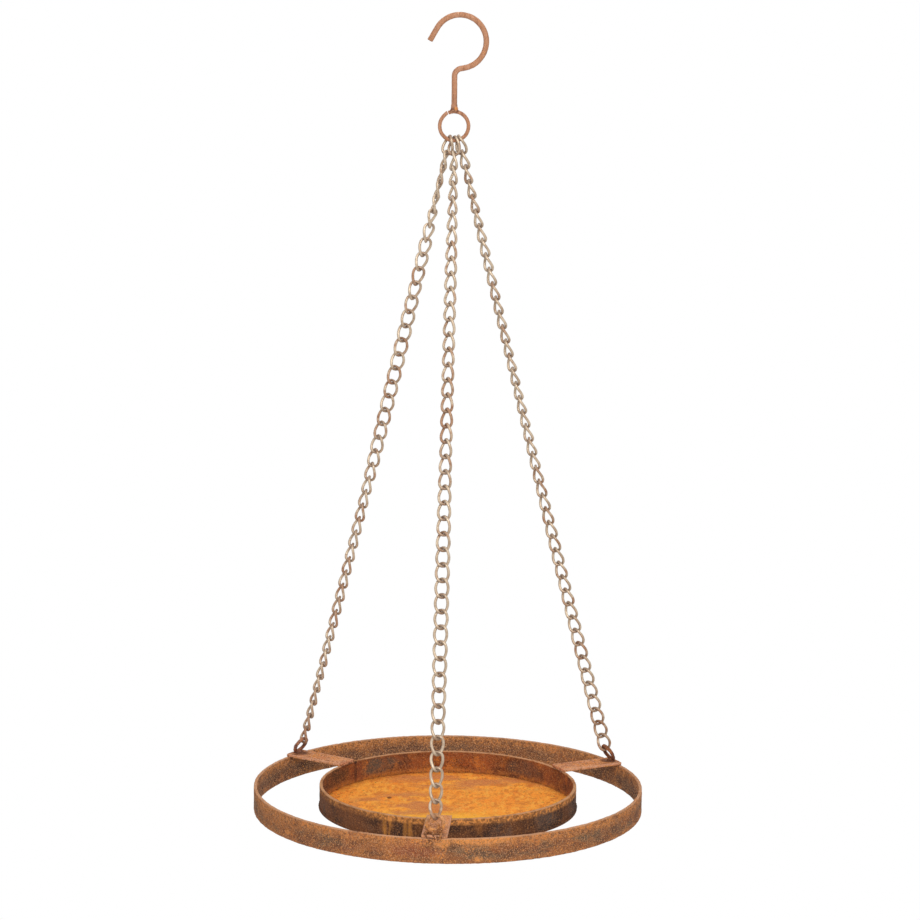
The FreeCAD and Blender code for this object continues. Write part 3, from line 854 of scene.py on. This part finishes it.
def hoop_rust():
    """The hoop: mottled orange-brown rust, grey scale along the middle, orange flecks, a pale upper edge that
    is partly painted highlight, and painted shade on its inner face and under the spokes.
    """
    coat = Coat("hoop_rust", "8b5433")
    coat.mottle("ad6b3a", 0.9, 26, 0.5, 0.1, 0, (1, 1, 2))
    coat.mottle("864f3a", 0.75, 40, 0.56, 0.07, 5, (1, 1, 1.6))
    above_foot = coat.above(0.001, 0.006)
    middle = coat.maths("SUBTRACT", above_foot, coat.above(0.0115, 0.0165))
    outside = coat.beyond(HOOP_RADIUS - 0.0018, HOOP_RADIUS - 0.0010)
    inside = coat.less(outside)
    # Painted shade: the inner face darkened, evenly and in patches.
    coat.over("7c4527", 0.4, inside)
    coat.over("5c3a27", 0.75, inside, coat.patches(34, 0.46, 0.1, 22))
    # Painted shadow on the inner face under the right and the left spoke.
    coat.blot("452a1e", 0.6, (0.135, 0.060, 0.008), (0.045, 0.075, 0.03), inside)
    coat.blot("4a2a18", 0.6, (-0.138, 0.068, 0.012), (0.034, 0.046, 0.03), inside)
    scale = coat.times(coat.patches(26, 0.5, 0.06, 3, (1, 1, 2.4)), coat.lifted(outside, 0.35))
    coat.over("6c5844", 0.95, scale, coat.lifted(middle, 0.2))
    coat.mottle("58382a", 0.7, 95, 0.54, 0.07, 6, (1, 1, 1.6))
    redder = coat.patches(60, 0.42, 0.1, 21)
    coat.blot("9c5235", 0.65, (-0.014, -0.160, 0.012), (0.024, 0.01, 0.009), redder)
    burnt = coat.specks(330, 0.46, 0.06, 8)
    coat.blot("54362a", 0.85, (0, -0.160, 0.0165), (0.012, 0.01, 0.006), burnt)
    fleck = coat.lifted(coat.specks(420, 0.5, 0.07, 7), 0.25)
    coat.over("dc8c4a", 0.95, coat.above(0.0095, 0.018), coat.patches(46, 0.43, 0.09, 9), fleck)
    coat.over("c07a42", 0.8, coat.less(above_foot), coat.patches(60, 0.5, 0.08, 10), fleck)
    coat.over("cc7a3c", 0.8, coat.patches(75, 0.6, 0.06, 11), fleck)
    for centre, size, share in (
        ((0.036, -0.156, 0.0190), (0.036, 0.02, 0.0044), 1),
        ((0.0065, -0.160, 0.0165), (0.006, 0.01, 0.0045), 0.85),
        ((0.034, -0.157, 0.004), (0.0035, 0.01, 0.0026), 0.8),
        ((-0.120, -0.106, 0.006), (0.004, 0.004, 0.002), 0.7),
    ):
        coat.blot("e8964e", share, centre, size, coat.specks(360, 0.4, 0.1, 13))
    coat.crumble("4b2f20", "cf9568", "ec994e", 15, share=0.85, scale=1150.0)
    # The hoop's top edges paler: partly wear, partly painted highlight.
    coat.rub_and_highlight("d09c76", 0.8, UPPER_EDGE, 19)
    return coat.done()


def dish_rust():
    """The dish wall: near-black scale with orange runs outside, brown and orange crust inside."""
    coat = Coat("dish_rust", "382216")
    coat.mottle("62391d", 0.9, 40, 0.52, 0.1, 40, (1, 1, 1.5))
    coat.mottle("5f4f45", 0.6, 34, 0.56, 0.07, 41)
    fleck = coat.lifted(coat.specks(420, 0.5, 0.07, 47), 0.3)
    coat.over("a8662c", 0.45, coat.patches(110, 0.57, 0.06, 42, (1, 1, 0.1)), coat.above(0.002, 0.015))
    drips = coat.patches(260, 0.48, 0.1, 43, (1, 1, 0.15))
    for centre in ((-0.024, -0.103, 0.009), (-0.041, -0.098, 0.010)):
        coat.blot("c07c34", 0.85, centre, (0.005, 0.01, 0.012), drips)
    coat.over("e0924a", 1, coat.above(0.0136, 0.0166), coat.patches(60, 0.36, 0.1, 44), fleck)
    browner = coat.patches(60, 0.45, 0.1, 45)
    coat.blot("744426", 0.7, (-0.086, -0.058, 0.008), (0.056, 0.050, 0.03), browner)
    outside = coat.ground
    coat.ground = colour("71401f")
    coat.mottle("9f5a30", 0.85, 34, 0.5, 0.1, 50)
    coat.blot("b4602c", 0.7, (0, 0.104, 0.008), (0.05, 0.02, 0.010), fleck)
    coat.mottle("4f3023", 0.75, 55, 0.57, 0.07, 52)
    for centre, side, level, shift, code, share in (
        ((-0.066, 0.079, 0.012), 0.024, 0.38, 58, "645a4c", 0.85),
        ((0.060, 0.083, 0.011), 0.020, 0.42, 59, "5c4c40", 0.7),
    ):
        coat.blot(code, share, centre, (side, side, 0.008), coat.patches(60, level, 0.1, shift))
    coat.over("cf7c34", 0.85, coat.patches(80, 0.55, 0.07, 54), fleck)
    darker = coat.patches(60, 0.42, 0.1, 57)
    coat.blot("523a22", 0.7, (-0.102, 0.018, 0.012), (0.030, 0.050, 0.014), darker)
    coat.over("d58438", 0.85, coat.less(coat.above(0.002, 0.0075)), coat.patches(90, 0.45, 0.1, 56))
    seam = DISH_RADIUS - BAR_THICKNESS, DISH_JOINT
    coat.blot("8a4828", 0.6, round_axis(*seam, 0.012), (0.010, 0.010, 0.012))
    wall_side = coat.beyond(0.1045, 0.105)
    coat.ground = blend(coat.tree, wall_side, coat.ground, outside)
    share = coat.maths("SUBTRACT", 0.7, coat.times(wall_side, 0.35))
    coat.crumble("281a14", "b3764a", "d58b48", 60, share=share)
    # The dish wall's top edges paler: partly wear, partly painted highlight.
    coat.rub_and_highlight("cf9a6e", 0.8, UPPER_EDGE, 66)
    coat.blot("3a2016", 0.55, round_axis(*seam, 0.011), (0.0022, 0.0022, 0.011))
    coat.blot("3a2015", 0.75, round_axis(*seam, 0.0195), (0.0024, 0.0024, 0.0020))
    return coat.done()


def spoke_rust():
    """A spoke: pinkish copper-brown rust on top with an orange bloom, top edges paler from wear and painted
    highlight, painted shade underneath and inside each eye's loop.
    """
    coat = Coat("spoke_rust", "c4784a")
    coat.mottle("de9664", 0.9, 60, 0.5, 0.12, 80)
    coat.mottle("94583a", 0.8, 90, 0.57, 0.07, 82)
    coat.mottle("e08c42", 0.85, 70, 0.57, 0.06, 84)
    coat.crumble("5e3420", "e8ae86", "ec9c4e", 86, share=1.0, scale=720.0)
    for bearing in ARM_BEARINGS.values():
        # The first spot is painted shade on the spoke's top inside each eye's loop.
        foot = round_axis(EYE_FOOT_RADIUS - 0.0045, bearing, SPOKE_TOP)
        coat.blot("4f2b1a", 0.75, foot, (0.0058, 0.0058, 0.003))
        foot = round_axis(EYE_FOOT_RADIUS + 0.001, bearing, SPOKE_TOP)
        coat.blot("6e422c", 0.75, foot, (0.011, 0.011, 0.004), coat.specks(300, 0.47, 0.06, 92))
    # The spoke's top edges paler: partly wear, partly painted highlight.
    coat.rub_and_highlight("dfa888", 0.55, (0.0205, 0.022), 90)
    # Painted shade: the spoke's underside darkened.
    coat.over("452b1e", 0.75, coat.less(coat.above(0.0200, 0.0206)))
    return coat.done()


def eye_rust(name, dark, middle, light, orange, shift):
    """An eye and its weld: lumpy rust, light and orange on its crown, the light being a painted highlight,
    and painted shade where the weld lies low.
    """
    coat = Coat(name, dark)
    coat.over(middle, 0.9, coat.patches(180, 0.48, 0.12, shift))
    coat.over(orange, 0.85, coat.patches(260, 0.56, 0.07, shift + 2))
    # Painted highlight: the eye's upper part laid paler.
    crown = coat.above(SPOKE_TOP + 0.0075, CROWN_HEIGHT)
    coat.over(light, 0.6, crown, coat.patches(300, 0.42, 0.12, shift + 3))
    coat.crumble("32201a", light, orange, shift + 4, share=0.45)
    # Painted shade where the weld lies low against the steel.
    coat.over("4a2717", 0.8, coat.less(coat.attribute("crest")))
    return coat.done()


def floor_rust():
    """The dish's floor: bright orange rust, a brighter yellow painted highlight at the front, brown-pink
    where it is older.
    """
    coat = Coat("dish_floor_rust", "f68d2e", specular=0.2)
    coat.mottle("ffa43a", 1, 26, 0.5, 0.12, 2)
    coat.mottle("cf6822", 0.75, 230, 0.55, 0.08, 25, (1.2, 0.6, 1))
    coat.mottle("ffbc50", 0.7, 250, 0.57, 0.07, 27, (1.2, 0.6, 1))
    # Painted highlight: a brighter yellow pool on the front of the floor, broken into patches.
    highlight_patches = coat.patches(30, 0.36, 0.12, 5)
    coat.blot("ffba3a", 1, (0.002, -0.070, 0.001), (0.085, 0.052, 0.01), highlight_patches)
    older = coat.maths("MAXIMUM", coat.spot((-0.035, 0, 0.001), (0.05, 0.04, 0.01)),
                       coat.spot((0.02, 0.078, 0.001), (0.09, 0.036, 0.01)))
    coat.over("c0704a", 0.8, older, coat.patches(45, 0.5, 0.07, 9, (0.6, 1, 1)))
    coat.mottle("cd6c2e", 0.75, 70, 0.6, 0.05, 11, (0.6, 1, 1))
    coat.over("b86428", 0.8, coat.beyond(0.09, 0.1035), coat.patches(70, 0.47, 0.1, 12))
    coat.over("6b381b", 0.75, coat.beyond(0.1005, 0.1030), coat.patches(140, 0.44, 0.1, 14))
    coat.crumble("b85820", "ffbe58", "ffb040", 16, share=0.5, depth=0.0004)
    coat.over("4c2c1c", 0.9, coat.specks(300, 0.68, 0.03, 21), coat.beyond(0.05, 0.1))
    coat.blot("5a2c18", 0.85, (-0.050, 0.016, 0.0016), (0.0022, 0.004, 0.002))
    under = coat.less(coat.above(0.0009, 0.0013))
    coat.over("5f3a25", 0.9, coat.maths("MAXIMUM", coat.beyond(0.1035, 0.1045), under))
    return coat.done()


def chain_steel():
    """Chain wire: drawn steel gone dull and beige, browned link by link, darkest where links touch, as
    painted shade.
    """
    coat = Coat("chain_wire", "aa937b", specular=0.5)
    coat.mottle("cfbba2", 1, 150, 0.5, 0.18, 101)
    uneven = coat.times(coat.patches(130, 0.5, 0.14, 103), 0.6)
    amount = coat.maths("ADD", coat.attribute("rust"), uneven)
    browned = smooth(coat.tree, amount, 0.6, 1.2)
    coat.over("a87a5a", 0.85, browned)
    coat.over("81583f", 0.7, browned, coat.specks(420, 0.57, 0.08, 105))
    coat.over("8f7558", 0.5, coat.specks(420, 0.64, 0.06, 107))
    # Painted shade at the crowns, where links touch.
    coat.over("75543f", 0.6, coat.maths("POWER", coat.attribute("contact"), 3))
    coat.link(coat.maths("SUBTRACT", 0.4, coat.times(browned, 0.35)), "Metallic")
    coat.link(coat.maths("ADD", 0.4, coat.times(browned, 0.35)), "Roughness")
    coat.bump(0.15, 0.0003, coat.patches(600, 0.5, 0.3, 109))
    return coat.done()


def copper_rust():
    """The hook and its ring: an even coat of copper-brown rust, drawn streaks, orange and dark marks."""
    coat = Coat("hook_rust", "a67253", specular=0.35)
    coat.mottle("ba8463", 0.9, 90, 0.5, 0.16, 121)
    coat.mottle("c9987a", 0.55, 420, 0.52, 0.12, 123, (1, 1, 0.12))
    coat.mottle("8a5c44", 0.6, 420, 0.57, 0.08, 124, (1, 1, 0.12))
    coat.mottle("cf8a52", 0.6, 260, 0.64, 0.05, 125)
    coat.blot("dfb896", 0.7, (0.0027, 0, RING_TOP + 0.0785), (0.0005, 0.004, 0.004))
    weld = coat.specks(420, 0.45, 0.08, 127)
    coat.blot("6e4430", 0.85, (0, 0, RING_TOP + 0.001), (0.005, 0.005, 0.003), weld)
    coat.blot("e09550", 0.85, (0.0016, -0.002, RING_TOP + 0.0024), (0.0014, 0.002, 0.0014))
    coat.crumble("7b523b", "cda07e", "d9965a", 130, share=0.16, scale=1000.0, depth=0.0002)
    return coat.done()


# The object

hoop_finish = hoop_rust()
dish_finish = dish_rust()
spoke_finish = spoke_rust()
eye_finishes = {
    "front": eye_rust("front_eye_rust", "6f4027", "c98550", "e6b184", "ee9c4c", 140.0),
    "left": eye_rust("left_eye_rust", "6a4337", "9d6a56", "c08c70", "bd7444", 150.0),
    "right": eye_rust("right_eye_rust", "523126", "7d4a36", "a86e4c", "cc7c38", 160.0),
}
floor_finish = floor_rust()
chain_finish = chain_steel()
hook_finish = copper_rust()

hoop_rings, hoop_edge = bent_bar(HOOP_RADIUS, 0, BAR_WIDTH, HOOP_JOINT, -1, 11)
piece("hoop", [loft(hoop_rings, endless=True)], hoop_finish, TRAY, ["outer_ring"],
      [("edge", [hoop_edge])])
dish_rings, dish_edge = bent_bar(DISH_RADIUS, DISH_FOOT, BAR_WIDTH, DISH_JOINT, 1, 21)
bead = weld_bead(DISH_RADIUS, DISH_FOOT + 0.0004, 0.0008, 24)
piece("dish_band", [loft(dish_rings, endless=True), bead], dish_finish, TRAY, ["dish_wall"],
      [("edge", [dish_edge, np.zeros(len(bead[0]))])])
piece("dish_floor", [loft(base_sheet())], floor_finish, TRAY, ["dish_base"])

for arm, bearing in ARM_BEARINGS.items():
    bar, edge_nearness = spoke_bar()
    welds = spoke_welds(arm)
    meshes = [(turned(points, bearing), faces) for points, faces in [loft(bar), *welds]]
    edge_nearness = [edge_nearness] + [np.full(len(points), WELD_EDGE_NEARNESS) for points, faces in welds]
    piece(f"spoke_{arm}_bar", meshes, spoke_finish, TRAY, [f"spoke_{arm}"], [("edge", edge_nearness)])
    foot = (EYE_FOOT_RADIUS - 0.0004, 0, SPOKE_TOP)
    meshes = [mound(foot, 0.0030, 0.0044, 0.0019, 43), loft(eye_loop(), endless=True)]
    if arm == "front":
        meshes += eye_curls()
    crests = [crest(points) for points, faces in meshes]
    meshes = [(turned(points, bearing), faces) for points, faces in meshes]
    piece(f"eye_{arm}_loop", meshes, eye_finishes[arm], TRAY, [f"eye_{arm}"],
          [("crest", crests)])
    chain(arm, chain_finish)

piece("ring", [loft(bent_ring())], hook_finish, HOOK_BODY, ["hook_ring"])
piece("hook_bend", [loft(hook_rod()), stem_weld()], hook_finish, HOOK_BODY, ["hook"])


# Stage, light and camera


def glow(tree, strength, kind="Emission"):
    """White light of a strength."""
    return node(tree, kind, {"Color": WHITE, "Strength": strength}).outputs[0]


def white_where_seen(tree, lit, seen, output):
    """Show one shader to the camera and to reflections, and the lit one to everything else."""
    path = node(tree, "LightPath").outputs
    mirrored = maths(tree, "MAXIMUM", path["Is Glossy Ray"], path["Is Transmission Ray"])
    direct = maths(tree, "MAXIMUM", path["Is Camera Ray"], mirrored)
    tree.links.new(node(tree, "MixShader", {0: direct, 1: lit, 2: seen}).outputs[0], output)


def make_world():
    """Soft grey light from all round, white where the camera or a reflection looks straight at it."""
    world = bpy.data.worlds.new("studio")
    bpy.context.scene.world = world
    world.use_nodes = True
    tree = world.node_tree
    tree.nodes.clear()
    fill = glow(tree, FILL_LIGHT, "Background")
    seen = glow(tree, 1.0, "Background")
    white_where_seen(tree, fill, seen, node(tree, "OutputWorld").inputs["Surface"])


def make_floor():
    """A pale floor well below the tray: white at a distance, with the object's shadow near the middle."""
    material = bpy.data.materials.new("floor_white")
    material.use_nodes = True
    tree = material.node_tree
    tree.nodes.clear()
    matt = node(tree, "BsdfDiffuse", {"Color": colour("f4f4f4")}).outputs[0]
    brighter = node(tree, "AddShader", {0: matt, 1: glow(tree, 0.35)}).outputs[0]
    distance = vector_maths(tree, "LENGTH", place_in(tree))["Value"]
    far = smooth(tree, distance, 0.35, 0.6)
    seen = node(tree, "MixShader", {0: far, 1: brighter, 2: glow(tree, 1.0)}).outputs[0]
    white_where_seen(tree, matt, seen, node(tree, "OutputMaterial").inputs["Surface"])
    mesh = bpy.data.meshes.new("floor")
    corners = [(x * FLOOR_REACH, y * FLOOR_REACH, 0) for x, y in ((-1, -1), (1, -1), (1, 1), (-1, 1))]
    mesh.from_pydata(corners, [], [(0, 1, 2, 3)])
    mesh.materials.append(material)
    floor = bpy.data.objects.new("floor", mesh)
    floor.location.z = FLOOR_HEIGHT
    bpy.context.scene.collection.objects.link(floor)


def lamp(name, place, power, size):
    """A square soft lamp aimed at the middle of the object."""
    light = bpy.data.lights.new(name, "AREA")
    light.energy = power
    light.size = size
    made = bpy.data.objects.new(name, light)
    aim = Vector(LAMP_AIM) - Vector(place)
    made.matrix_world = Matrix.Translation(place) @ aim.to_track_quat("-Z", "Y").to_matrix().to_4x4()
    bpy.context.scene.collection.objects.link(made)


def make_camera():
    """The photograph's camera, turned about the tray's axis to where it stood."""
    data = bpy.data.cameras.new("camera")
    data.sensor_fit = "HORIZONTAL"
    data.sensor_width = SENSOR
    data.lens = CAMERA_FOCAL_PIXELS / FRAME_PIXELS * SENSOR
    data.clip_end = 50
    height = CAMERA_DISTANCE * math.sin(CAMERA_RISE) + BAR_WIDTH
    place = Vector((0, -CAMERA_DISTANCE * math.cos(CAMERA_RISE), height))
    heading = Vector((
        math.sin(CAMERA_YAW) * math.cos(CAMERA_PITCH),
        math.cos(CAMERA_YAW) * math.cos(CAMERA_PITCH),
        math.sin(CAMERA_PITCH),
    ))
    level = Vector((math.cos(CAMERA_YAW), -math.sin(CAMERA_YAW), 0))
    over = level.cross(heading)
    right = math.cos(CAMERA_ROLL) * level + math.sin(CAMERA_ROLL) * over
    up = math.cos(CAMERA_ROLL) * over - math.sin(CAMERA_ROLL) * level
    pose = Matrix((right, up, -heading)).transposed().to_4x4()
    pose.translation = place
    camera = bpy.data.objects.new("camera", data)
    camera.matrix_world = Matrix.Rotation(CAMERA_TURN, 4, "Z") @ pose
    bpy.context.scene.collection.objects.link(camera)
    bpy.context.scene.camera = camera


make_world()
make_floor()
for name, (place, power, size) in LAMPS.items():
    lamp(name, place, power, size)
make_camera()
bpy.context.scene.view_settings.view_transform = "Standard"
